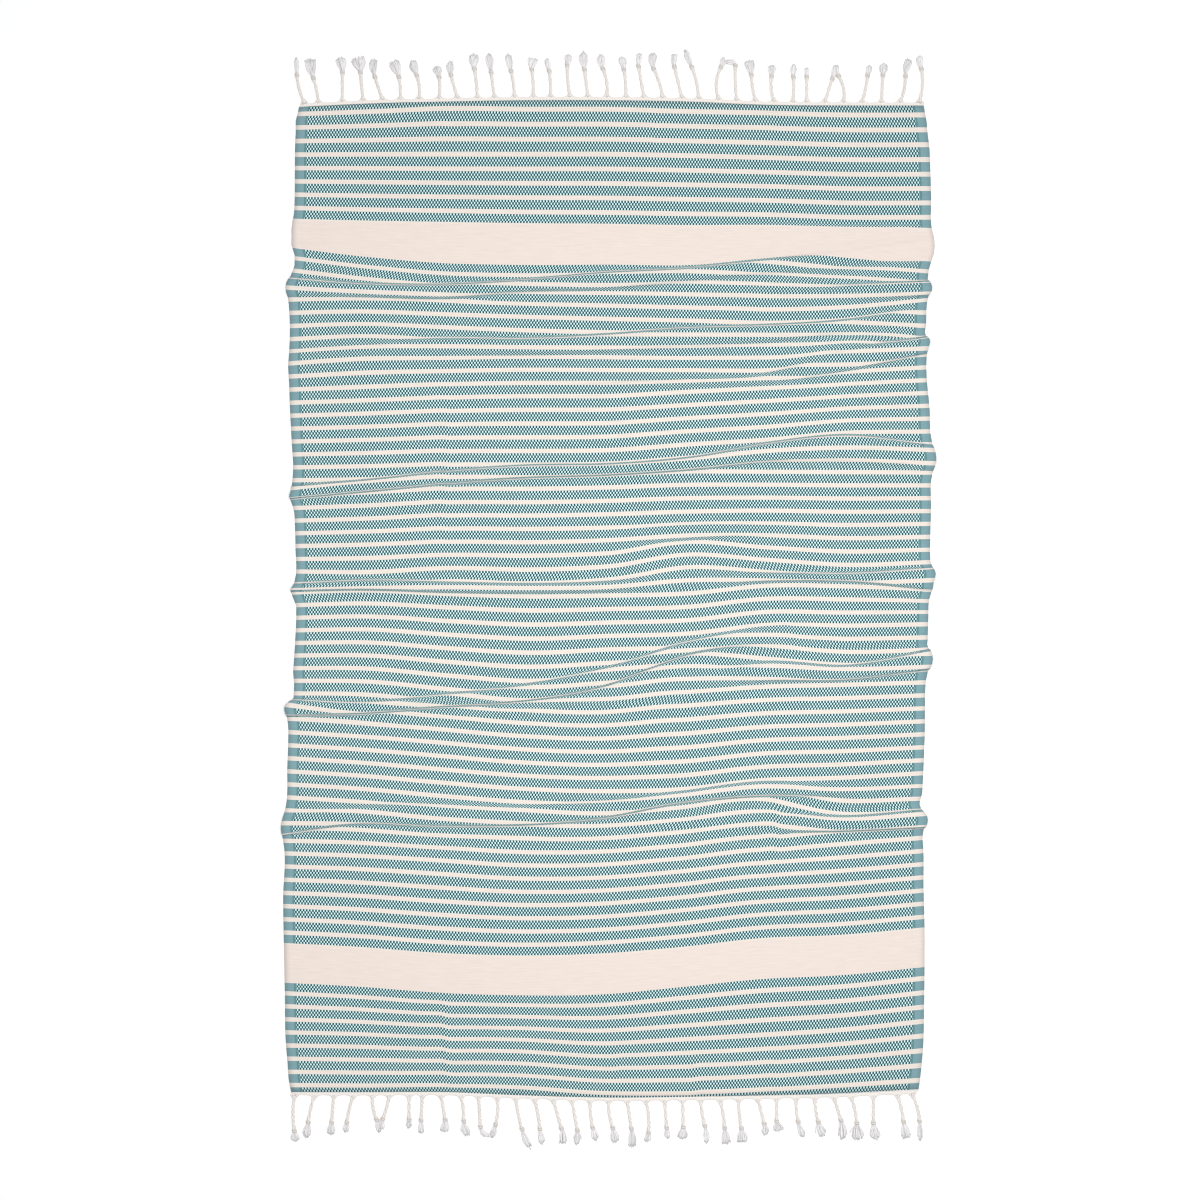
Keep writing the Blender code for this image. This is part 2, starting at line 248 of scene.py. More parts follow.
# %% [markdown]
# ## The lines of the sheet
# The sheet is a grid.  Its columns run from end to end, and its rows follow the creases, so that a
# flank gets many rows and flat cloth only a few.  Columns stand closer together where the towel was
# pressed along a line from end to end, because such a kink is only a few millimetres wide.

# %% Where the columns stand
COLUMN_GAP = 9.5  # mm between columns on open cloth
KINK_GAP = 2.6  # mm between columns on a lengthwise kink
KINK_REACH = 9.0  # mm to each side of a kink where the columns stand close
LENGTHWISE_KINKS = (-246, 14, 66, 130, 254, 290)  # mm across
COUNTING_STEPS = 4000  # for the sum over the width


def column_places():
    """Shares of the width from 0 at the left edge to 1 at the right.  The number of columns in each
    millimetre is one over the gap there, and the columns cut the sum of it into equal parts."""
    x = np.linspace(STATIONS[0], STATIONS[-1], COUNTING_STEPS + 1)
    per_mm = np.full(x.shape, 1 / COLUMN_GAP)
    for place in LENGTHWISE_KINKS:
        per_mm += (1 / KINK_GAP - 1 / COLUMN_GAP) * np.exp(-((x - place) / KINK_REACH) ** 4)
    total = np.concatenate([[0.0], np.cumsum(per_mm[1:] * np.diff(x))])
    count = int(round(total[-1]))
    places = np.interp(np.linspace(0.0, total[-1], count + 1), total, x)
    return (places - places[0]) / (places[-1] - places[0])


across_share = column_places()
print(len(across_share), "columns")

# %% [markdown]
# ## The cloth through a crease
# A flank is an S seen from the side.  With little spare cloth it is a long soft slope.  With more
# cloth it stands steeper, and from above its stripes close up to slivers.  So the width of each
# flank follows from how much cloth it swallows, and nobody has to draw it.

# %% One flank
FLANK_ROWS = 9
NARROWEST = 2.7  # mm, half the plan width of a steep flank
WIDEST = 9.0  # mm, half that of a soft one
ROOM_SHARE = 0.3  # of the room between two lines that half a flank may take
STEEP_FROM = 8.0  # mm of spare cloth that makes a flank steep
LEAST_SPARE = 0.4  # mm, below which cloth counts as flat


def flank_width(height, spare, room):
    """Half the plan width of a flank.  A slope of height h over a width 2w is longer than 2w by the
    spare cloth e when w = (h h - e e) / 4e.  With hardly any spare cloth it is a soft swell."""
    spare = np.maximum(spare, LEAST_SPARE)
    wanted = (height ** 2 - spare ** 2) / (4 * spare)
    widest = np.maximum(np.minimum(WIDEST, ROOM_SHARE * room), NARROWEST)
    softness = np.clip(1 - spare / STEEP_FROM, 0.0, 1.0)
    return np.clip(wanted, NARROWEST + (widest - NARROWEST) * softness, widest)


def flank_rows(line, half, height, climbs, first, last):
    """Rows over one flank, without the last one, as (up, height, repeat).  With t from 0 to 1 from
    its head side to its foot side, up = line + half (1 - 2t), and the height is the cosine step.
    The repeats run from the first to the last one by the length of cloth between the rows."""
    t = np.linspace(0.0, 1.0, FLANK_ROWS + 1)[:, None]
    up = line + half * (1 - 2 * t)
    step = (1 - np.cos(np.pi * t)) / 2
    rise = height * (step if climbs else 1 - step)
    steps = np.hypot(np.diff(up, axis=0), np.diff(rise, axis=0))
    run = np.concatenate([np.zeros((1, up.shape[1])), np.cumsum(steps, axis=0)])
    repeat = first + (last - first) * run / run[-1]
    return up[:-1], rise[:-1], repeat[:-1]


# %% [markdown]
# ## From end to end
# The rows are put together from the head end to the foot end: flat cloth, flank, crown, flank, flat
# cloth, and so on.  Between two flanks the repeats run on evenly, which makes the stripes there
# straight, bowed or slanting as the measured ones are.

# %% Rows over flat cloth and over one crease
FLAT_ROW_GAP = 13.0  # mm
LEAST_ROWS = 2
CROWN_ROWS = 4
BROW_SHARE = 0.85  # of the crown's height, where the crown meets a flank


def straight_rows(start, end, rows):
    """Rows that run evenly from one line to another, without the last one."""
    t = np.linspace(0.0, 1.0, rows + 1)[:-1, None]
    return start + (end - start) * t


def flat_rows(start, end):
    """Even rows of flat cloth between two lines.  A line is a pair: how far up it lies, and its
    repeat."""
    rows = max(LEAST_ROWS, math.ceil(float(np.mean(start[0] - end[0])) / FLAT_ROW_GAP))
    up = straight_rows(start[0], end[0], rows)
    return up, 0 * up, straight_rows(start[1], end[1], rows)


def crease_rows(crease, room_above, room_below):
    """The line where one crease begins, its rows, and the line where it ends.  Every millimetre of
    plan counts 1 / REPEAT, and each flank adds the repeats that it swallows.  The crown swings up
    from its brows as the square of a sine."""
    crown_room = crease.upper - crease.lower
    upper_room, lower_room = np.minimum(crown_room, room_above), np.minimum(crown_room, room_below)
    upper_half = flank_width(crease.height, crease.above * REPEAT, upper_room)
    lower_half = flank_width(crease.height, crease.below * REPEAT, lower_room)
    begins = crease.upper + upper_half, crease.meets - upper_half / REPEAT
    upper_brow = crease.meets + crease.above + upper_half / REPEAT
    leaves = crease.meets + crease.above + crown_room / REPEAT
    lower_brow = leaves - lower_half / REPEAT
    ends = crease.lower - lower_half, leaves + crease.below + lower_half / REPEAT
    brow = BROW_SHARE * crease.height
    crown = straight_rows(crease.upper - upper_half, crease.lower + lower_half, CROWN_ROWS)
    swing = np.sin(np.pi * np.linspace(0.0, 1.0, CROWN_ROWS + 1)[:-1, None]) ** 2
    rows = [
        flank_rows(crease.upper, upper_half, brow, True, begins[1], upper_brow),
        (crown, brow + (crease.height - brow) * swing,
         straight_rows(upper_brow, lower_brow, CROWN_ROWS)),
        flank_rows(crease.lower, lower_half, brow, False, lower_brow, ends[1]),
    ]
    return begins, rows, ends


# %% All rows of the sheet
OPEN_CLOTH = 90.0  # mm of flat cloth that the last crease has below it


def crease_at(crease, x):
    """One crease with all its lines and numbers worked out at these places across the towel.  The
    height and what the flanks swallow never go below 0."""
    curves = {name: curve_through(STATIONS, values, x)
              for name, values in crease._asdict().items() if name != "name"}
    for name in ("height", "above", "below"):
        curves[name] = np.maximum(curves[name], 0.0)
    return crease._replace(**curves)


def run_on(upper, lower, line, up):
    """The repeat at some heights past a line, where stripes lie as far apart as the upper and the
    lower line say."""
    pitch = (upper[0] - lower[0]) / (lower[1] - upper[1])
    return line[1] - (up - line[0]) / pitch


def stripe_lines(stripes, x):
    """Where some stripes lie at these places across the towel, each as a line."""
    return [(curve_through(STATIONS, stripe.up, x), np.full(x.shape, stripe.repeat))
            for stripe in stripes]


def sheet_rows(x):
    """Up, height and repeat of every row at these places across the towel."""
    head_lines, foot_lines = stripe_lines(HEAD_STRIPES, x), stripe_lines(FOOT_STRIPES, x)
    head = curve_through(STATIONS, HEAD_END, x)
    foot = curve_through(STATIONS, FOOT_END, x)
    creases = [crease_at(crease, x) for crease in CREASES]

    # The nearest lines above and below each crease, which its flanks can't reach
    lines_above = [head_lines[-1][0]] + [crease.lower for crease in creases[:-1]]
    lines_below = [crease.upper for crease in creases[1:]] + [creases[-1].lower - OPEN_CLOTH]

    place = head, run_on(*head_lines[:2], head_lines[0], head)
    blocks = []
    for line in head_lines:
        blocks.append(flat_rows(place, line))
        place = line
    for crease, above, below in zip(creases, lines_above, lines_below):
        begins, rows, ends = crease_rows(crease, above - crease.upper, crease.lower - below)
        blocks += [flat_rows(place, begins), *rows]
        place = ends
    last = foot, run_on(*foot_lines[-2:], foot_lines[-1], foot)
    for line in (*foot_lines, last):
        blocks.append(flat_rows(place, line))
        place = line
    blocks.append((foot[None], 0 * foot[None], last[1][None]))
    return [np.concatenate(column) for column in zip(*blocks)]


def sheet_grid(share):
    """Across, up, height and repeat on the whole grid.  A row's place across depends on how far up
    it lies and the other way round, so both are worked out three times."""
    x = STATIONS[0] + (STATIONS[-1] - STATIONS[0]) * share
    up, height, repeat = sheet_rows(x)
    for _ in range(2):
        middle = up.mean(axis=0)
        left, right = left_edge(middle), right_edge(middle)
        up, height, repeat = sheet_rows(left + (right - left) * share)
    left, right = left_edge(up), right_edge(up)
    return left + (right - left) * share, up, height, repeat


x_grid, y_grid, z_grid, repeat_grid = sheet_grid(across_share)
print("grid of", x_grid.shape[0], "rows by", x_grid.shape[1], "columns")
print("repeats from", repeat_grid[0].mean().round(2), "to", repeat_grid[-1].mean().round(2))

# %% [markdown]
# ## Kinks and ripples
# Between the creases the cloth isn't quite flat.  It was folded lengthwise for storage, which left
# short sharp kinks, and it never presses down everywhere, so a few broad ripples under a millimetre
# high carry the light.  Both are added to the height of the grid.

# %% Small relief
Kink = namedtuple("Kink", "start_x start_y end_x end_y half_width height pull")
KINKS = (
    Kink(-243, 741, -246, 690, 4.0, 1.1, 0.4),
    Kink(-240, 336, -248, 60, 4.5, 0.9, 1.0),
    Kink(-246, -590, -240, -738, 4.5, 1.4, 2.0),
    Kink(14, -664, 13, -728, 4.0, 1.0, -0.9),
    Kink(66, 741, 67, 670, 4.0, 0.8, 0.4),
    Kink(130, -680, 131, -752, 4.0, 1.0, -1.3),
    Kink(250, 730, 251, 690, 4.0, 0.8, 0.4),
    Kink(250, -672, 251, -742, 4.0, 1.0, 0.8),
    Kink(256, -302, 250, -396, 4.5, 0.9, 2.2),
    Kink(266, -24, 290, -80, 4.5, 1.3, 0.8),
    Kink(297, -140, 302, -160, 4.0, 1.1, 0.5),
)
KINK_FADE = 0.2  # of its length, at each end
PULL_STEP = 7.0  # mm
PULL_REACH = 30.0

Ripple = namedtuple("Ripple", "height wave_x wave_y shift")
RIPPLES = (
    Ripple(0.35, 1400, 210, 0.3),
    Ripple(0.25, 520, 330, 1.9),
    Ripple(0.22, -760, 150, 4.1),
    Ripple(0.15, 300, -470, 2.6),
)


def kink_frame(x, y, kink):
    """How far each point lies to the side of a kink, and how strong the kink is there: full along
    its line, fading out evenly over KINK_FADE at each end."""
    start = np.array((kink.start_x, kink.start_y), float)
    along = np.array((kink.end_x, kink.end_y), float) - start
    length = float(np.hypot(*along))
    run = ((x - start[0]) * along[0] + (y - start[1]) * along[1]) / length ** 2
    off = ((x - start[0]) * along[1] - (y - start[1]) * along[0]) / length
    return off, np.clip(run / KINK_FADE, 0, 1) * np.clip((1 - run) / KINK_FADE, 0, 1)


def kink_height(x, y, kink):
    """A ridge along a line, falling off to both sides as a bell."""
    off, strength = kink_frame(x, y, kink)
    return kink.height * np.exp(-(off / kink.half_width) ** 2) * strength


def kink_pull(x, y, kink):
    """The rows break at a kink: a pull above 0 draws them up to the left of it and down to the
    right, as the hyperbolic tangent of off / PULL_STEP, and they come back over PULL_REACH."""
    off, strength = kink_frame(x, y, kink)
    return kink.pull * np.tanh(off / PULL_STEP) * np.exp(-np.abs(off) / PULL_REACH) * strength


def ripple_height(x, y, ripple):
    """Half a wave up from the surface, never below it."""
    phase = 2 * np.pi * (x / ripple.wave_x + y / ripple.wave_y) + ripple.shift
    return ripple.height * (1 + np.sin(phase)) / 2


y_grid = y_grid + sum(kink_pull(x_grid, y_grid, kink) for kink in KINKS)
z_grid = z_grid + sum(kink_height(x_grid, y_grid, kink) for kink in KINKS)
z_grid = z_grid + sum(ripple_height(x_grid, y_grid, ripple) for ripple in RIPPLES)
print("highest point:", z_grid.max().round(1), "mm")

# %% [markdown]
# ## A mesh from a grid
# One helper turns any grid of points into a mesh.  It also lays a UV map over it, which here
# doesn't say where a picture goes but where the cloth was woven: metres across the loom and
# repeats along it.  The stripes then follow every crease, as they do in cloth.

# %% Grid to mesh
def grid_faces(rows, columns, wrap=False):
    """Corner numbers of the squares of a grid, row by row.  With wrap, the last column joins the
    first one."""
    row = np.arange(rows - 1)[:, None]
    column = np.arange(columns if wrap else columns - 1)[None, :]
    following = (column + 1) % columns
    here, below = row * columns, (row + 1) * columns
    return np.stack([here + column, below + column, below + following, here + following], -1)


def mesh_piece(name, points, faces, uv_name, uv):
    """A smooth mesh object from points in metres and faces of four corners, with one UV map."""
    points = np.asarray(points, np.float32).reshape(-1, 3)
    corners = faces.reshape(-1, 4).astype(np.int32)
    mesh = bpy.data.meshes.new(name)
    mesh.vertices.add(len(points))
    mesh.vertices.foreach_set("co", points.ravel())
    mesh.loops.add(corners.size)
    mesh.loops.foreach_set("vertex_index", corners.ravel())
    mesh.polygons.add(len(corners))
    mesh.polygons.foreach_set("loop_start", np.arange(0, corners.size, 4, dtype=np.int32))
    layer = mesh.uv_layers.new(name=uv_name)
    layer.data.foreach_set("uv", np.asarray(uv, np.float32).ravel())
    mesh.update(calc_edges=True)
    mesh.validate()
    mesh.shade_smooth()
    piece = bpy.data.objects.new(name, mesh)
    bpy.context.scene.collection.objects.link(piece)
    print(f"{name}: {len(points)} points, {len(corners)} faces")
    return piece


# %% The cloth
WOVEN_WIDTH = 0.957  # metres across the loom
CLOTH_THICKNESS = 1.2  # mm

faces = grid_faces(*x_grid.shape)
points = np.stack([x_grid, y_grid, z_grid + CLOTH_THICKNESS], -1) * MM
on_loom = np.broadcast_to((across_share - 0.5) * WOVEN_WIDTH, x_grid.shape)
woven = np.stack([on_loom, repeat_grid], -1).reshape(-1, 2)
cloth = mesh_piece("striped_cloth", points, faces, "woven", woven[faces.reshape(-1)])
thicken = cloth.modifiers.new("Thickness", "SOLIDIFY")
thicken.thickness = CLOTH_THICKNESS * MM
thicken.offset = -1.0

# %% [markdown]
# ## The weave
# Cream cotton runs both ways, and teal weft comes in for each stripe.  There it floats over the
# warp in four staggered rows of small ovals, with cream ones between them.  Along both sides a
# strip of plain weave keeps the edge from fraying, and the teal lies closed there.
#
# To model every float would take millions of faces, so the material draws them.  The ovals are a
# product of two cosines, one across and one along the cloth: its peaks and its hollows are
# staggered just as the floats are.  A colour ramp makes yarn colours of it and a bump makes it
# stand up.  All of it is worked out from the woven coordinates.

# %% Helpers for shader nodes
NOISE_DETAIL = 2.0
COTTON_GLOSS = 0.15
ROUGHNESS_DROP = 0.2  # from the least to the most of the noise
SHEEN_ROUGHNESS = 0.5


def new_material(name):
    """A material and its tools: the tree, the shader and a function that adds a maths node."""
    material = bpy.data.materials.new(name)
    material.use_nodes = True
    tree = material.node_tree

    def maths(operation, *values):
        """One maths node.  A number is set on its socket, and anything else is linked to it."""
        node = tree.nodes.new("ShaderNodeMath")
        node.operation = operation
        for socket, value in zip(node.inputs, values):
            if isinstance(value, (int, float)):
                socket.default_value = value
            else:
                tree.links.new(value, socket)
        return node.outputs[0]

    return material, tree, tree.nodes["Principled BSDF"], maths


def uv_axes(tree, uv_name):
    """The two coordinates of a UV map, each on its own."""
    uv_node = tree.nodes.new("ShaderNodeUVMap")
    uv_node.uv_map = uv_name
    split = tree.nodes.new("ShaderNodeSeparateXYZ")
    tree.links.new(uv_node.outputs["UV"], split.inputs[0])
    return split.outputs["X"], split.outputs["Y"]


def colour_mix(tree, share, first, second):
    """A mix of two colours, which are either linked or given as numbers."""
    node = tree.nodes.new("ShaderNodeMix")
    node.data_type = "RGBA"
    tree.links.new(share, node.inputs["Factor"])
    for socket, value in ((node.inputs["A"], first), (node.inputs["B"], second)):
        if isinstance(value, tuple):
            socket.default_value = (*value, 1.0)
        else:
            tree.links.new(value, socket)
    return node.outputs["Result"]


def colour_ramp(tree, share, tones):
    """The colour for a share, out of a table of places and colours.  A new ramp has two stops, one
    for each end of the table, and the others are put in between."""
    ramp = tree.nodes.new("ShaderNodeValToRGB")
    stops = ramp.color_ramp.elements
    for stop, (place, colour) in zip(stops, (tones[0], tones[-1])):
        stop.position, stop.color = place, (*colour, 1.0)
    for place, colour in tones[1:-1]:
        stops.new(place).color = (*colour, 1.0)
    tree.links.new(share, ramp.inputs[0])
    return ramp.outputs["Color"]


def noise(tree, place, scale):
    """A soft noise over some coordinates, around one half."""
    node = tree.nodes.new("ShaderNodeTexNoise")
    node.inputs["Scale"].default_value = scale
    node.inputs["Detail"].default_value = NOISE_DETAIL
    tree.links.new(place, node.inputs["Vector"])
    return node.outputs[0]


def cotton(tree, shader, colour, brightness, roughness, sheen):
    """The shader's colour, made brighter or darker from place to place, and its matt finish with a
    sheen of loose fibres."""
    uneven = tree.nodes.new("ShaderNodeHueSaturation")
    tree.links.new(brightness, uneven.inputs["Value"])
    tree.links.new(colour, uneven.inputs["Color"])
    tree.links.new(uneven.outputs[0], shader.inputs["Base Color"])
    tree.links.new(roughness, shader.inputs["Roughness"])
    shader.inputs["Specular IOR Level"].default_value = COTTON_GLOSS
    shader.inputs["Sheen Weight"].default_value = sheen
    shader.inputs["Sheen Roughness"].default_value = SHEEN_ROUGHNESS


def raised(tree, shader, relief, strength, distance):
    """A relief on the shader, as a bump of some strength over a distance in metres."""
    bump = tree.nodes.new("ShaderNodeBump")
    bump.inputs["Strength"].default_value = strength
    bump.inputs["Distance"].default_value = distance
    tree.links.new(relief, bump.inputs["Height"])
    tree.links.new(bump.outputs[0], shader.inputs["Normal"])


# %% Yarn colours and sizes of the weave
CREAM = (0.760, 0.685, 0.622)
BAND_CREAM = (0.760, 0.662, 0.603)
OVAL_TONES = (
    (0.39, (0.665, 0.855, 0.862)),  # the pale ovals
    (0.45, (0.120, 0.370, 0.400)),  # the rims between
    (0.53, (0.015, 0.068, 0.078)),  # the teal ovals
)
TEAL_SIDE = (0.195, 0.330, 0.362)
TEAL_INNER_SIDE = (0.105, 0.245, 0.258)

OVAL_GAP = 0.00462  # metres from one oval to the next in a row
OVAL_ROWS = 4
STRIPE_SHARE = 0.665  # of a repeat
SIDE_STRIP = 0.0168  # metres of closed teal along each side
INNER_STRIP = 0.0030  # the darker part of it, next to the ovals
THREAD_GAP = 0.0015  # metres from one warp thread to the next
PICKS = 14.0  # weft threads in a repeat
PICK_LINES = 0.1  # how much each pick brightens or darkens the closed strips
HEAD_BAND = (9.0, 12.0)  # repeats without teal
FOOT_BAND = (73.0, 76.0)
BAND_REACH = 1.67  # repeats of warmer cream to each side of a band's middle

material, tree, shader, maths = new_material("striped weave")
across, repeat = uv_axes(tree, "woven")

# Where teal is woven in: inside a stripe, and in neither band
inside = maths("FRACT", repeat)
in_stripe = maths("LESS_THAN", inside, STRIPE_SHARE)
head_side = maths("ABSOLUTE", maths("SUBTRACT", repeat, sum(HEAD_BAND) / 2))
foot_side = maths("ABSOLUTE", maths("SUBTRACT", repeat, sum(FOOT_BAND) / 2))
nearest_band = maths("MINIMUM", head_side, foot_side)
outside_bands = maths("GREATER_THAN", nearest_band, (HEAD_BAND[1] - HEAD_BAND[0]) / 2)
teal = maths("MULTIPLY", in_stripe, outside_bands)

# The staggered ovals
oval_across = maths("COSINE", maths("MULTIPLY", across, 2 * math.pi / OVAL_GAP))
oval_rows = maths("MULTIPLY_ADD", inside, math.pi * OVAL_ROWS / STRIPE_SHARE, -math.pi / 2)
ovals = maths("MULTIPLY", oval_across, maths("COSINE", oval_rows))
oval_colour = colour_ramp(tree, maths("MULTIPLY_ADD", ovals, 0.5, 0.5), OVAL_TONES)

# The closed strip along each side
from_middle = maths("ABSOLUTE", across)
side_start = WOVEN_WIDTH / 2 - SIDE_STRIP
side_strip = maths("GREATER_THAN", from_middle, side_start)
outer_strip = maths("GREATER_THAN", from_middle, side_start + INNER_STRIP)
side_colour = colour_mix(tree, outer_strip, TEAL_INNER_SIDE, TEAL_SIDE)
teal_colour = colour_mix(tree, side_strip, oval_colour, side_colour)
band = maths("LESS_THAN", nearest_band, BAND_REACH)
cream_colour = colour_mix(tree, band, CREAM, BAND_CREAM)
weave_colour = colour_mix(tree, teal, cream_colour, teal_colour)
print("weave colours:", len(tree.nodes), "nodes")

# %% Uneven yarn and the relief of the threads
SLUB_LENGTH = 0.030  # metres
SLUB_PICKS = 1.5  # weft threads across one slub
SLUB_LEAST, SLUB_SPREAD = 0.915, 0.17  # the least brightness, and how far the slubs raise it
THREAD_RELIEF = 0.25
FLOAT_RELIEF = 0.5  # the floats of a stripe stand up twice as far
WEAVE_BUMP = (0.5, 0.0004)  # strength, and metres
WEAVE_ROUGHNESS = 0.98
WEAVE_SHEEN = 0.25
SHEEN_TINT = (0.85, 0.93, 1.0, 1.0)

# Slubs are a few centimetres long and one or two picks wide.  On the closed strips, where the weft
# is beaten hard together, each pick also shows as a faint line
weft = maths("COSINE", maths("MULTIPLY", repeat, 2 * math.pi * PICKS))
pick_lines = maths("MULTIPLY", maths("MULTIPLY", side_strip, teal), weft)
slub_place = tree.nodes.new("ShaderNodeCombineXYZ")
tree.links.new(maths("MULTIPLY", across, 1 / SLUB_LENGTH), slub_place.inputs["X"])
tree.links.new(maths("MULTIPLY", repeat, PICKS / SLUB_PICKS), slub_place.inputs["Y"])
slubs = noise(tree, slub_place.outputs[0], 1.0)
brightness = maths("MULTIPLY_ADD", slubs, SLUB_SPREAD, SLUB_LEAST)
cotton(tree, shader, weave_colour, maths("MULTIPLY_ADD", pick_lines, PICK_LINES, brightness),
       maths("MULTIPLY_ADD", slubs, -ROUGHNESS_DROP, WEAVE_ROUGHNESS), WEAVE_SHEEN)
shader.inputs["Sheen Tint"].default_value = SHEEN_TINT

# The threads stand up: ribs of warp and weft on plain cloth, and the floats on a stripe
warp = maths("COSINE", maths("MULTIPLY", across, 2 * math.pi / THREAD_GAP))
plain = maths("MULTIPLY_ADD", maths("MULTIPLY", warp, weft), THREAD_RELIEF, 0.5)
floats = maths("MULTIPLY", maths("MULTIPLY", teal, maths("SUBTRACT", 1.0, side_strip)), ovals)
raised(tree, shader, maths("MULTIPLY_ADD", floats, FLOAT_RELIEF, plain), *WEAVE_BUMP)
cloth.data.materials.append(material)
print("weave:", len(tree.nodes), "nodes")

# %% [markdown]
# ## Yarn tubes
# Everything in a fringe is yarn, so one function sweeps a circle along any number of paths at once.
# Curve objects with a round bevel would look the same, but there are about 2000 strands here,
# and numpy makes them all in one step.  The ring at each point stands square to the path, between
# two directions that come from cross products, and a flat cap closes both ends.

# %% Tubes along paths
def tube_rings(paths, radii, sides, beside):
    """Points of round tubes.  Each ring is path + radius (cos a side + sin a above), where side is
    the path's direction crossed with a vector that it never runs along."""
    direction = np.gradient(paths, axis=1)
    direction /= np.linalg.norm(direction, axis=-1, keepdims=True)
    side = np.cross(direction, beside)
    side /= np.linalg.norm(side, axis=-1, keepdims=True)
    above = np.cross(side, direction)
    angle = 2 * np.pi * np.arange(sides) / sides
    turn = np.cos(angle)[:, None] * side[:, :, None] + np.sin(angle)[:, None] * above[:, :, None]
    return paths[:, :, None] + radii[:, :, None, None] * turn


def closed_ends(rings):
    """Rings with a ring of no size in the middle of each end, which closes the tube."""
    first = np.repeat(rings[:, :1].mean(axis=2, keepdims=True), rings.shape[2], axis=2)
    last = np.repeat(rings[:, -1:].mean(axis=2, keepdims=True), rings.shape[2], axis=2)
    return np.concatenate([first, rings, last], axis=1)


def tube_mesh(paths, radii, sides, beside, tone):
    """Points, faces and UV of many tubes: the UV holds the share round the tube and its tone."""
    rings = closed_ends(tube_rings(paths, radii, sides, beside))
    count, length = rings.shape[:2]
    faces = grid_faces(length, sides, wrap=True)[None]
    faces = faces + (np.arange(count) * length * sides)[:, None, None, None]
    round_share = np.broadcast_to(np.arange(sides) / sides, (length - 1, sides))
    tones = np.concatenate([tone[:, :1], tone, tone[:, -1:]], axis=1)
    uv = np.empty((count, length - 1, sides, 4, 2))
    uv[..., 0, 0] = uv[..., 1, 0] = round_share
    uv[..., 2, 0] = uv[..., 3, 0] = round_share + 1 / sides
    uv[..., 0, 1] = uv[..., 3, 1] = tones[:, :-1, None]
    uv[..., 1, 1] = uv[..., 2, 1] = tones[:, 1:, None]
    return rings.reshape(-1, 3), faces.reshape(-1, 4), uv.reshape(-1, 2)


def joined(parts):
    """Several (points, faces, UV) sets as one."""
    points, faces, uvs, start = [], [], [], 0
    for part_points, part_faces, part_uv in parts:
        points.append(part_points)
        faces.append(part_faces + start)
        uvs.append(part_uv)
        start += len(part_points)
    return np.concatenate(points), np.concatenate(faces), np.concatenate(uvs)


# %% [markdown]
# ## The tassels
# Each tassel starts as a bunch of warp ends, drawn together where it leaves the cloth.  It is
# twisted in two plies, tied in an overhand knot, and its loose ends spread out as a tuft.  They lie
# on the floor as they fell, so each has its own lean, and its row says where the root, the knot and
# the tip lie, how far the cord bows sideways between, and how wide the tuft has spread.  At the
# foot end the heights are counted downwards.
#
# All tassels of a fringe are made at once: an array holds a path for each ply, turn or thread.

# %% The tassels, from left to right
Tassel = namedtuple("Tassel", "root knot tip bow width")
HEAD_TASSELS = (
    Tassel(-455, (-466, 784), (-467, 811), -2, 7), Tassel(-434, (-441, 779), (-447, 809), 1, 16),
    Tassel(-398, (-398, 788), (-402, 811), 0, 16), Tassel(-367, (-371, 788), (-376, 811), 0, 20),
    Tassel(-338, (-349, 781), (-351, 809), 0, 13), Tassel(-311, (-313, 781), (-322, 806), 1, 15),
    Tassel(-283, (-286, 783), (-293, 806), 2, 12), Tassel(-253, (-253, 781), (-258, 798), 1, 14),
    Tassel(-226, (-235, 784), (-236, 805), 0, 11), Tassel(-196, (-200, 793), (-201, 816), 1, 15),
    Tassel(-170, (-175, 788), (-179, 817), 0, 12), Tassel(-140, (-145, 790), (-150, 815), 1, 10),
    Tassel(-112, (-114, 792), (-112, 810), 1, 14), Tassel(-86, (-88, 790), (-92, 809), 1, 8),
    Tassel(-57, (-61, 799), (-59, 815), -1, 10), Tassel(-30, (-35, 792), (-37, 820), 0, 12),
    Tassel(-2, (-7, 793), (-11, 815), 3, 11), Tassel(27, (24, 792), (20, 812), 1, 11),
    Tassel(54, (46, 797), (47, 817), 0, 10), Tassel(82, (69, 793), (68, 818), 2, 12),
    Tassel(111, (100, 796), (100, 816), 0, 9), Tassel(136, (126, 796), (116, 822), 2, 9),
    Tassel(166, (169, 796), (173, 811), -5, 8), Tassel(193, (191, 798), (175, 804), -1, 8),
    Tassel(221, (215, 784), (211, 806), -1, 13), Tassel(249, (245, 782), (246, 799), -2, 12),
    Tassel(277, (278, 781), (279, 801), 1, 9), Tassel(298, (298, 781), (298, 795), 0, 7),
    Tassel(325, (336, 778), (341, 799), 0, 9), Tassel(353, (346, 783), (343, 799), 4, 9),
    Tassel(381, (389, 783), (393, 799), 1, 9), Tassel(410, (412, 783), (414, 802), 0, 11),
    Tassel(438, (446, 782), (452, 808), 2, 12), Tassel(467, (470, 793), (467, 813), 3, 12),
)
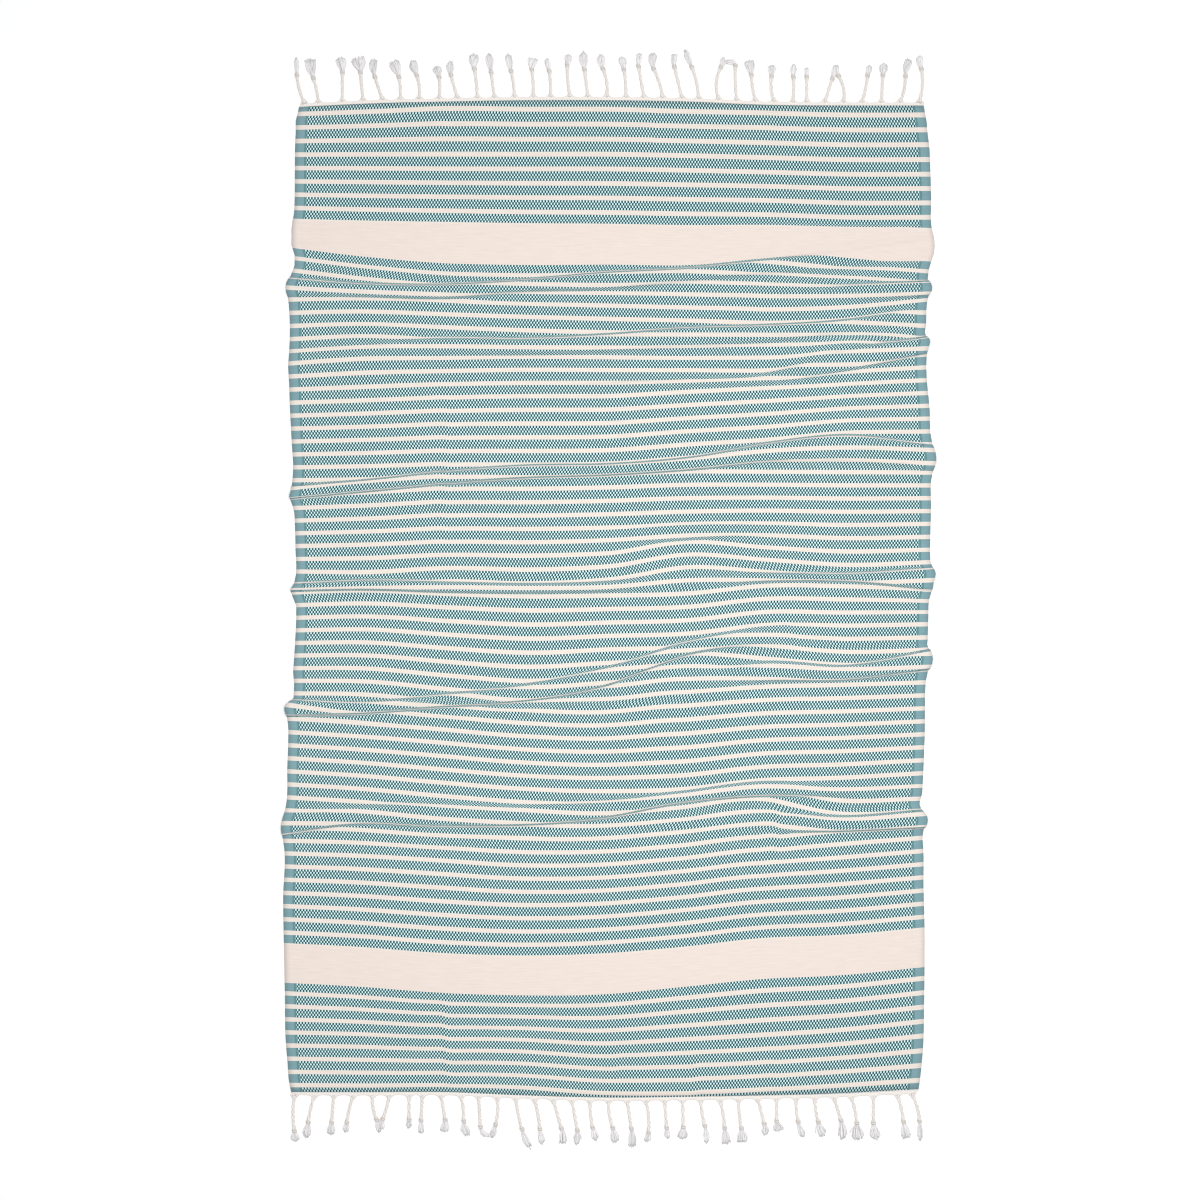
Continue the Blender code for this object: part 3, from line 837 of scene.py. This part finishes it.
FOOT_TASSELS = (
    Tassel(-470, (-470, 797), (-468, 814), -2, 13), Tassel(-440, (-449, 784), (-453, 808), -1, 13),
    Tassel(-411, (-414, 784), (-416, 803), 0, 13), Tassel(-382, (-391, 784), (-394, 800), -1, 10),
    Tassel(-353, (-347, 780), (-343, 800), -2, 9), Tassel(-328, (-337, 779), (-340, 796), 1, 10),
    Tassel(-298, (-298, 780), (-299, 794), 0, 8), Tassel(-278, (-280, 781), (-280, 801), 0, 9),
    Tassel(-250, (-244, 780), (-246, 799), 0, 14), Tassel(-220, (-216, 782), (-211, 805), 1, 13),
    Tassel(-194, (-191, 791), (-179, 806), 0, 8), Tassel(-166, (-168, 787), (-174, 808), 2, 10),
    Tassel(-138, (-129, 794), (-117, 822), -1, 9), Tassel(-110, (-102, 794), (-99, 817), 1, 10),
    Tassel(-82, (-70, 793), (-68, 817), 0, 12), Tassel(-54, (-46, 796), (-47, 818), 0, 10),
    Tassel(-27, (-23, 792), (-18, 812), -1, 11), Tassel(1, (7, 792), (11, 815), -2, 12),
    Tassel(29, (35, 793), (36, 821), 0, 12), Tassel(57, (61, 799), (58, 814), 2, 11),
    Tassel(85, (88, 792), (90, 809), 0, 8), Tassel(112, (113, 791), (111, 810), 0, 15),
    Tassel(139, (145, 789), (148, 816), -1, 9), Tassel(168, (175, 792), (178, 817), 1, 12),
    Tassel(196, (200, 793), (201, 815), -1, 16), Tassel(225, (234, 786), (236, 804), 0, 11),
    Tassel(253, (253, 782), (257, 798), 0, 15), Tassel(282, (285, 783), (293, 807), -1, 10),
    Tassel(310, (315, 783), (322, 807), -1, 14), Tassel(339, (349, 781), (352, 810), 0, 14),
    Tassel(365, (373, 785), (374, 812), 1, 20), Tassel(398, (398, 785), (403, 811), 0, 16),
    Tassel(434, (443, 783), (448, 809), 1, 14), Tassel(456, (467, 782), (468, 812), 2, 8),
)

# %% The cord of a tassel
STRANDS = 5  # that gather into one cord
STRAND_RINGS = 6
STRAND_START = -2.2  # mm from the root, on the heading
STRAND_LENGTH = 8.0
STRAND_CLOSED, STRAND_OPENED = 0.9, 5.6  # mm to the side at the cord, and what the heading adds
STRAND_HEIGHT, STRAND_RISE = 1.1, 1.4  # mm above the floor, and on up to the cord
CORD_HEIGHT = 2.6  # mm from the floor to the middle of the cord
CORD_RINGS = 34
PLY_OFFSET = 1.1  # mm from the cord's middle to a ply's
PLY_LEAD = 2.4  # radians that each cord's twist is ahead of the last one's
KNOT_HEIGHT = 3.4  # mm from the floor to its middle
KNOT_RINGS = 26
KNOT_TURNS = 1.7
KNOT_REACH, KNOT_LIFT, KNOT_LENGTH = 2.3, 1.8, 4.4  # mm to the side, up, and along its axis
UP = np.array((0.0, 0.0, 1.0))


def length_of(vectors):
    """The length of each vector, kept as a last axis."""
    return np.linalg.norm(vectors, axis=-1, keepdims=True)


def sideways(directions):
    """Level directions square to these ones."""
    side = np.cross(directions, UP)
    return side / length_of(side)


def smooth_step(t):
    """0 below 0, 1 above 1, and the cubic 3tt - 2ttt between."""
    t = np.clip(t, 0.0, 1.0)
    return t * t * (3 - 2 * t)


def root_strands(root, direction):
    """Short strands that gather each bunch of warp ends into its cord.  They start side by side on
    the heading and close in as a smooth step."""
    t = np.linspace(0.0, 1.0, STRAND_RINGS)[None, None, :]
    place = np.linspace(-1.0, 1.0, STRANDS)[None, :, None]
    x = root[:, 0, None, None] + place * (STRAND_CLOSED + STRAND_OPENED * (1 - smooth_step(t)))
    y = root[:, 1, None, None] + direction * (STRAND_START + STRAND_LENGTH * t)
    z = STRAND_HEIGHT + STRAND_RISE * smooth_step(t) + 0 * x
    return np.stack(np.broadcast_arrays(x, y, z), -1).reshape(-1, STRAND_RINGS, 3)


def cord_line(root, knot, bow):
    """A path from each root to each knot.  It is straight, plus 4t (1 - t) times the bow to the
    right."""
    t = np.linspace(0.0, 1.0, CORD_RINGS)[None, :, None]
    line = root[:, None] + (knot - root)[:, None] * t
    line[..., 0] += 4 * (t * (1 - t))[..., 0] * bow[:, None]
    return line


def plies(centre, twist):
    """Two plies twisted round each cord line: each swings sideways as a cosine and up and down as a
    sine of the length of cord run, with one full turn for each twist length."""
    steps = np.linalg.norm(np.diff(centre, axis=1), axis=-1)
    run = np.concatenate([np.zeros((len(centre), 1)), np.cumsum(steps, axis=1)], axis=1)
    side = sideways(np.gradient(centre, axis=1))
    start = np.arange(len(centre))[:, None] * PLY_LEAD
    turn = 2 * np.pi * run / twist[:, None] + start
    paths = []
    for phase in (0.0, np.pi):
        swing = np.cos(turn + phase) * PLY_OFFSET
        lift = np.sin(turn + phase) * PLY_OFFSET
        paths.append(centre + swing[..., None] * side + lift[..., None] * UP)
    return np.concatenate(paths)


def knot_turns(centre, axis):
    """Nearly two turns of cord round each knot's middle, climbing along its axis: a cosine of the
    angle to the side, a sine of it upwards, and an even climb."""
    t = np.linspace(0.0, 1.0, KNOT_RINGS)[None, :, None]
    angle = 2 * np.pi * KNOT_TURNS * t
    across_knot = np.cos(angle) * sideways(axis)[:, None] * KNOT_REACH
    lifted = np.sin(angle) * UP * KNOT_LIFT
    return centre[:, None] + axis[:, None] * (t - 0.5) * KNOT_LENGTH + across_knot + lifted


# %% The tuft of a tassel
TUFT_THREADS = 22
THREAD_RADIUS = 0.85
THREAD_TAPER = np.array((1.0, 1.0, 1.0, 1.0, 1.0, 0.95, 0.85, 0.6))  # ring by ring
THREAD_RINGS = len(THREAD_TAPER)
CLEARANCE = 0.1  # mm between the lowest thread and the floor
PLACE_SPREAD = 0.09  # how unevenly the threads lie side by side
ROUNDNESS = (0.02, 0.28)  # share by which the outer threads are shorter, least and most
LENGTH_SPREAD = 0.04  # how unevenly they end
SWING_SPREAD = 0.7  # mm that a thread bows to the side by itself
CLOSING = (-0.8, 0.4)  # how far the tip opens further or closes up again
CLOSE_FROM = 0.7  # share of a thread's length where that begins
BEND = 0.45  # share of the tuft's length that it runs on along the cord
OPEN_AT_KNOT, OPEN_OVER = 0.18, 0.85  # a start, and the share of the length it takes to open
LAYER_LEAST, LAYER_SPREAD = 0.5, 3.3  # mm that the threads are piled up over the lowest one
DROOP = 0.55  # share of that height lost toward the tip
THIN_SIDES = 0.5  # share of it lost toward the sides of the tuft


def tuft_threads(knot, leave, tip, width, rng):
    """Loose threads from each knot to its tip.  Their middle line is the curve (1 - t)(1 - t) knot
    + 2t (1 - t) bend + tt tip, where bend lies straight on along the cord.  Each thread opens out
    sideways by its place in the tuft, and bows by half a wave of its own."""
    count = len(knot)
    place = np.linspace(-1.0, 1.0, TUFT_THREADS)
    place = place + rng.normal(0, PLACE_SPREAD, (count, TUFT_THREADS))
    roundness = rng.uniform(*ROUNDNESS, (count, 1))
    reach = 1 - roundness * place ** 2 + rng.normal(0, LENGTH_SPREAD, place.shape)
    swing = rng.normal(0, SWING_SPREAD, place.shape)
    layer = rng.uniform(0.0, 1.0, place.shape)
    closing = rng.uniform(*CLOSING, (count, 1, 1))
    t = np.linspace(0.0, 1.0, THREAD_RINGS) * reach[..., None]
    axis = tip - knot
    bend = knot + leave * length_of(axis) * BEND
    along = t[..., None]
    line = ((1 - along) ** 2 * knot[:, None, None] + 2 * along * (1 - along) * bend[:, None, None]
            + along ** 2 * tip[:, None, None])
    opened = smooth_step(OPEN_AT_KNOT + t / OPEN_OVER) - closing * np.clip(t - CLOSE_FROM, 0, 1)
    fan = place[..., None] * (0.5 * width[:, None, None] - THREAD_RADIUS) * opened
    fan = fan + swing[..., None] * np.sin(np.pi * t)
    path = line + fan[..., None] * sideways(axis)[:, None, None]
    rise = (LAYER_LEAST + LAYER_SPREAD * layer[..., None]) * (1 - DROOP * t)
    rise = rise * np.clip(1 - THIN_SIDES * np.abs(place[..., None]), 0, 1)
    path[..., 2] = THREAD_RADIUS + CLEARANCE + rise
    return path.reshape(-1, THREAD_RINGS, 3)


# %% [markdown]
# ## The heading and the whole fringe
# The last rows of weft at each end are cream and beaten hard together, so they stand up as a narrow
# rim.  It could be part of the cloth, but its warp is what the tassels are twisted from, so it is
# made with them: a bar with rounded edges, carried along the bowed end and drawn out wherever a
# tassel pulls at it.
#
# Heading, cords, knots and tufts are then joined into one mesh for each end.  A tone in the UV map
# tells the finish of the yarn which of them it is on.

# %% The heading that the tassels hang from
HEADING_DEPTH = 6.2  # mm from the cloth outwards
HEADING_THICKNESS = 2.0
HEADING_GAP = 0.15  # mm between the heading and the cloth
HEADING_RINGS = 320
HEADING_SIDES = 12
SQUARENESS = 0.6  # 1 is a round bar, and less is a squarer one
PULL_OUT, PULL_WIDTH, PULL_MEAN = 3.0, 6.0, 1.55  # mm at a tassel, to each side of it, on average
CORNER_LENGTH = 22.0  # mm over which the heading thins out
CORNER_SHARE = 0.25  # of its depth, left at the corner
CORNER_START = 2.0  # mm of that length that the corner is already ahead


def squarer(wave):
    """A cosine or sine with its sign kept and its size raised to the power of SQUARENESS, which
    draws a circle out toward a rounded bar."""
    return np.sign(wave) * np.abs(wave) ** SQUARENESS


def heading_mesh(ends, direction, roots):
    """The cream rows along the end.  A rounded bar is carried along the end line.  Its outer side
    is drawn out at every tassel as a bell, and it thins out toward both corners of the towel."""
    x = np.linspace(float(left_edge(ends[0])), float(right_edge(ends[-1])), HEADING_RINGS)
    end = curve_through(STATIONS, ends, x) + direction * HEADING_GAP
    nearest = np.abs(x[:, None] - roots[None, :]).min(axis=1)
    pulled = PULL_OUT * np.exp(-(nearest / PULL_WIDTH) ** 2) - PULL_MEAN
    angle = 2 * np.pi * np.arange(HEADING_SIDES) / HEADING_SIDES
    from_corner = np.minimum(x - x[0], x[-1] - x) + CORNER_START
    corner = CORNER_SHARE + (1 - CORNER_SHARE) * smooth_step(from_corner / CORNER_LENGTH)
    half = (HEADING_DEPTH + pulled[:, None]) / 2 * corner[:, None]
    y = end[:, None] + direction * half * (1 + squarer(np.cos(angle)))
    z = HEADING_THICKNESS / 2 * (1 + squarer(np.sin(angle))) + 0 * y
    rings = np.stack([np.broadcast_to(x[:, None], y.shape), y, z], -1)[None]
    if direction > 0:
        rings = rings[:, :, ::-1]
    rings = closed_ends(rings)
    faces = grid_faces(rings.shape[1], HEADING_SIDES, wrap=True).reshape(-1, 4)
    uv = np.zeros((len(faces) * 4, 2))
    return rings.reshape(-1, 3), faces, uv


# %% A fringe
ROOT_DEPTH = 5.2  # mm from the end of the cloth
TWIST_LENGTHS = (11.0, 30.0)  # mm of cord for a full turn, tight and loose
STRAND_RADIUS = 0.8
PLY_RADIUS = 1.35
STRAND_SIDES, PLY_SIDES, THREAD_SIDES = 6, 8, 5
KNOT_START, TUFT_START = 1.0, 1.5  # mm past the end of the cord line
CORD_TONE = 0.0  # a tone picks the colour of the yarn
# the knot's tone picks a darker colour: painted shade that falls between its turns
KNOT_SHADE_TONE = 0.3
THREAD_TONES = (0.5, 1.0)  # the dullest and the palest thread
THREAD_ROOT_TONE = 0.4
DULL_SHARE = 0.25  # of a thread, from the knot, over which it reaches its own tone


def even_tubes(paths, radius, sides, beside, tone):
    """Tubes of one radius and one tone."""
    whole = paths.shape[:2]
    return tube_mesh(paths, np.full(whole, radius), sides, beside, np.full(whole, tone))


def fringe(name, ends, direction, tassels, seed):
    """One comb of tassels on its heading, as a single mesh."""
    rng = np.random.default_rng(seed)
    root_x, bow, width = (np.array([getattr(tassel, size) for tassel in tassels], float)
                          for size in ("root", "bow", "width"))
    root_up = curve_through(STATIONS, ends, root_x) + direction * ROOT_DEPTH
    root = np.stack([root_x, root_up, 0 * root_x + CORD_HEIGHT], -1)
    knot = np.array([(*tassel.knot, KNOT_HEIGHT) for tassel in tassels], float)
    tip = np.array([(*tassel.tip, CORD_HEIGHT) for tassel in tassels], float)
    knot[:, 1] *= direction
    tip[:, 1] *= direction
    centre = cord_line(root, knot, bow)
    leave = centre[:, -1] - centre[:, -3]  # the way the cord runs where it ends
    leave[:, 2] = 0.0
    leave /= length_of(leave)
    two_ply = plies(centre, rng.uniform(*TWIST_LENGTHS, len(tassels)))
    turns = knot_turns(knot + leave * KNOT_START, leave)
    threads = tuft_threads(knot + leave * TUFT_START, leave, tip, width, rng)
    shade = rng.uniform(*THREAD_TONES, len(threads))[:, None]
    near_knot = np.clip(1 - np.linspace(0, 1, THREAD_RINGS) / DULL_SHARE, 0, 1)
    thread_radii = np.broadcast_to(THREAD_RADIUS * THREAD_TAPER, threads.shape[:2])
    beside_turns = np.repeat(leave[:, None], KNOT_RINGS, axis=1)
    points, faces, uv = joined([
        heading_mesh(ends, direction, root_x),
        even_tubes(root_strands(root, direction), STRAND_RADIUS, STRAND_SIDES, UP, CORD_TONE),
        even_tubes(two_ply, PLY_RADIUS, PLY_SIDES, UP, CORD_TONE),
        even_tubes(turns, PLY_RADIUS, PLY_SIDES, beside_turns, KNOT_SHADE_TONE),
        tube_mesh(threads, thread_radii, THREAD_SIDES, UP,
                  shade - (shade - THREAD_ROOT_TONE) * near_knot),
    ])
    return mesh_piece(name, points * MM, faces, "yarn", uv)


head_fringe = fringe("head_tassels", HEAD_END, 1, HEAD_TASSELS, seed=11)
foot_fringe = fringe("foot_tassels", FOOT_END, -1, FOOT_TASSELS, seed=12)

# %% [markdown]
# ## The finish of the yarn
# Undyed cotton is cream where it is twisted hard, and each knot is painted darker, as shade that
# falls between its turns.  In the loose tufts the light passes between the fibres, and they look
# paler and greyer, no two threads alike.  A ramp over the tone gives these colours.  Fibres run
# along each strand as fine ribs, and a small noise breaks them up.

# %% Fringe yarn
YARN_TONES = (
    (0.00, (0.785, 0.735, 0.695)),  # cord
    (0.20, (0.785, 0.735, 0.695)),
    (0.32, (0.680, 0.625, 0.585)),  # knot, darker as painted shade between its turns
    (0.50, (0.690, 0.675, 0.675)),  # dull thread of a tuft
    (1.00, (0.890, 0.870, 0.870)),  # pale one
)
FIBRE_RIBS = 6
FIBRE_NOISE = 700.0  # per metre
FIBRE_LEAST, FIBRE_SPREAD = 0.88, 0.24  # the least brightness, and how far the noise raises it
RIB_RELIEF = 0.3
YARN_BUMP = (0.6, 0.0003)  # strength, and metres
YARN_ROUGHNESS = 1.0
YARN_SHEEN = 0.2

material, tree, shader, maths = new_material("fringe yarn")
around, tone = uv_axes(tree, "yarn")
place = tree.nodes.new("ShaderNodeTexCoord")
fibres = noise(tree, place.outputs["Object"], FIBRE_NOISE)
cotton(tree, shader, colour_ramp(tree, tone, YARN_TONES),
       maths("MULTIPLY_ADD", fibres, FIBRE_SPREAD, FIBRE_LEAST),
       maths("MULTIPLY_ADD", fibres, -ROUGHNESS_DROP, YARN_ROUGHNESS), YARN_SHEEN)
ribs = maths("COSINE", maths("MULTIPLY", around, 2 * math.pi * FIBRE_RIBS))
raised(tree, shader, maths("MULTIPLY_ADD", ribs, RIB_RELIEF, fibres), *YARN_BUMP)
for piece in (head_fringe, foot_fringe):
    piece.data.materials.append(material)
print("yarn:", len(tree.nodes), "nodes")

# %% [markdown]
# ## On the imported model
# Each piece rides on the towel's one body and stands for its own solid.

# %% Pieces and their solids
for piece, node, slot in (
    (cloth, "cloth", "cloth_weave"),
    (head_fringe, "head_fringe", "fringe_yarn"),
    (foot_fringe, "foot_fringe", "fringe_yarn"),
):
    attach(piece, "root")
    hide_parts(node)

# %% [markdown]
# ## Floor, light and camera
# The towel lies on a plain white floor under a large soft light, so its creases show by their
# slopes and not by hard shadows.  The camera looks straight down from far off, with a long lens,
# which keeps the sides parallel.

# %% The floor
FLOOR_SIZE = 30.0
FLOOR_DROP = 0.0002  # metres, so that it never shares a plane with a piece
FLOOR_WHITE = 0.98

bpy.ops.mesh.primitive_plane_add(size=FLOOR_SIZE, location=(0.0, 0.0, -FLOOR_DROP))
floor = bpy.context.object
floor.name = "floor"
material, tree, shader, maths = new_material("white floor")
shader.inputs["Base Color"].default_value = (FLOOR_WHITE, FLOOR_WHITE, FLOOR_WHITE, 1.0)
shader.inputs["Roughness"].default_value = 0.9
shader.inputs["Specular IOR Level"].default_value = 0.0
floor.data.materials.append(material)

# %% The light
PANEL_SPREAD = 60  # degrees: a wide sun, as soft as a bright ceiling
PANEL_POWER = 1.58
PANEL_DIRECTION = (-0.1, -0.18, -1.0)
BOX_SIZE = 1.0
BOX_POWER = 12.0
BOX_PLACE = (0.15, -0.02, 1.6)
STRAIGHT_DOWN = (0.0, 0.0, -1.0)
ROOM_COLOUR = (0.97, 0.985, 1.0, 1.0)
ROOM_POWER = 0.375


def lamp(name, kind, power, place, direction):
    """The settings of a new lamp, which stands at a place and shines along a direction."""
    light = bpy.data.lights.new(name, kind)
    light.energy = power
    stand = bpy.data.objects.new(name, light)
    stand.location = place
    stand.visible_camera = False
    stand.rotation_mode = "QUATERNION"
    stand.rotation_quaternion = Vector(direction).to_track_quat("-Z", "Y")
    bpy.context.scene.collection.objects.link(stand)
    return light


sky_panel = lamp("sky panel", "SUN", PANEL_POWER, (0.0, 0.0, 0.0), PANEL_DIRECTION)
sky_panel.angle = math.radians(PANEL_SPREAD)
soft_box = lamp("soft box", "AREA", BOX_POWER, BOX_PLACE, STRAIGHT_DOWN)
soft_box.shape = "SQUARE"
soft_box.size = BOX_SIZE
world = bpy.data.worlds.new("room")
world.use_nodes = True
background = world.node_tree.nodes["Background"]
background.inputs["Color"].default_value = ROOM_COLOUR
background.inputs["Strength"].default_value = ROOM_POWER
bpy.context.scene.world = world
bpy.context.scene.view_settings.view_transform = "Standard"

# The weave is nearly as fine as the picture's pixels, so the noise filter leaves its guides alone
bpy.context.scene.cycles.denoising_prefilter = "NONE"
bpy.context.scene.cycles.filter_width = 1.2

# %% The camera
CAMERA_PLACE = (-0.012, -0.00225, 5.0)  # metres, above the middle of the picture
LENS = 100.0  # mm

camera_data = bpy.data.cameras.new("camera")
camera_data.lens = LENS
camera_data.sensor_width = 36.0
camera = bpy.data.objects.new("camera", camera_data)
camera.location = CAMERA_PLACE
bpy.context.scene.collection.objects.link(camera)
bpy.context.scene.camera = camera
